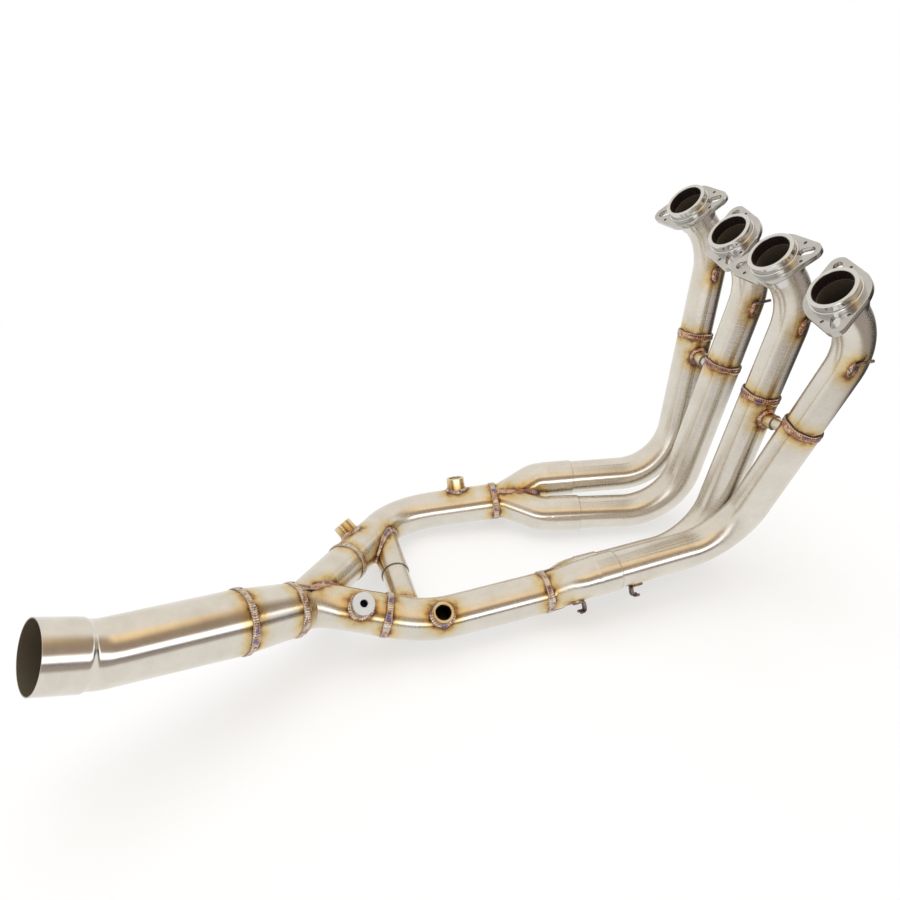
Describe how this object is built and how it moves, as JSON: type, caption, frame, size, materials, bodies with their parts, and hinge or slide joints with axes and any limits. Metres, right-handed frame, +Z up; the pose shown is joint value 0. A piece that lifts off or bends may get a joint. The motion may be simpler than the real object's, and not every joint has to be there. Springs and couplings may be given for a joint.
{
  "type": "motorcycle exhaust header",
  "caption": "Welded stainless exhaust header: bent primaries with slotted port flanges merge in collectors, then a Y joint, into one swaged tail; sensor bungs, crossover and spring hooks.",
  "frame": {"origin": "middle of the bounding box at floor level, lying as in the picture", "axes": "+X from the tail to the ports, +Y along the port row, +Z up"},
  "size_m": [0.7954, 0.354, 0.3975],
  "materials": {
    "tube_steel": "satin, straw heat tint beside the welds",
    "flange_steel": "bright machined",
    "weld_bead": "rippled bead, copper and blue heat tint",
    "bung_steel": "turned, straw heat tint",
    "plug_alloy": "bright turned",
    "hook_wire": "drawn wire, dark heat tint at the weld"
  },
  "bodies": {
    "root": {"balance_sleeve_a": "tube_steel", "balance_sleeve_b": "tube_steel", "balance_tube_a": "tube_steel", "balance_tube_b": "tube_steel", "balance_weld_a": "weld_bead", "balance_weld_b": "weld_bead", "bung_plug": "plug_alloy", "bung_weld_1": "weld_bead", "bung_weld_2": "weld_bead", "bung_weld_3": "weld_bead", "bung_weld_4": "weld_bead", "cone_weld": "weld_bead", "crossover_sleeve": "tube_steel", "crossover_tube": "tube_steel", "crossover_weld_a": "weld_bead", "crossover_weld_b": "weld_bead", "left_collector": "tube_steel", "left_collector_seam": "weld_bead", "left_collector_weld": "weld_bead", "left_secondary": "tube_steel", "left_secondary_weld": "weld_bead", "lower_primary_1": "tube_steel", "lower_primary_2": "tube_steel", "lower_primary_3": "tube_steel", "lower_primary_4": "tube_steel", "outlet_cone": "tube_steel", "port_flange_1": "flange_steel", "port_flange_2": "flange_steel", "port_flange_3": "flange_steel", "port_flange_4": "flange_steel", "port_hook_1": "hook_wire", "port_hook_2": "hook_wire", "port_hook_3": "hook_wire", "port_hook_4": "hook_wire", "primary_weld_1": "weld_bead", "primary_weld_2": "weld_bead", "primary_weld_3": "weld_bead", "primary_weld_4": "weld_bead", "right_collector": "tube_steel", "right_collector_seam": "weld_bead", "right_collector_weld": "weld_bead", "right_secondary": "tube_steel", "right_secondary_weld": "weld_bead", "sensor_bung_1": "bung_steel", "sensor_bung_2": "bung_steel", "sensor_bung_3": "bung_steel", "sensor_bung_4": "bung_steel", "slip_hooks_1": "hook_wire", "slip_hooks_4": "hook_wire", "tail_pipe": "tube_steel", "upper_primary_1": "tube_steel", "upper_primary_2": "tube_steel", "upper_primary_3": "tube_steel", "upper_primary_4": "tube_steel", "y_collector": "tube_steel", "y_outlet_weld": "weld_bead", "y_seam": "weld_bead"}
  },
  "joints": []
}
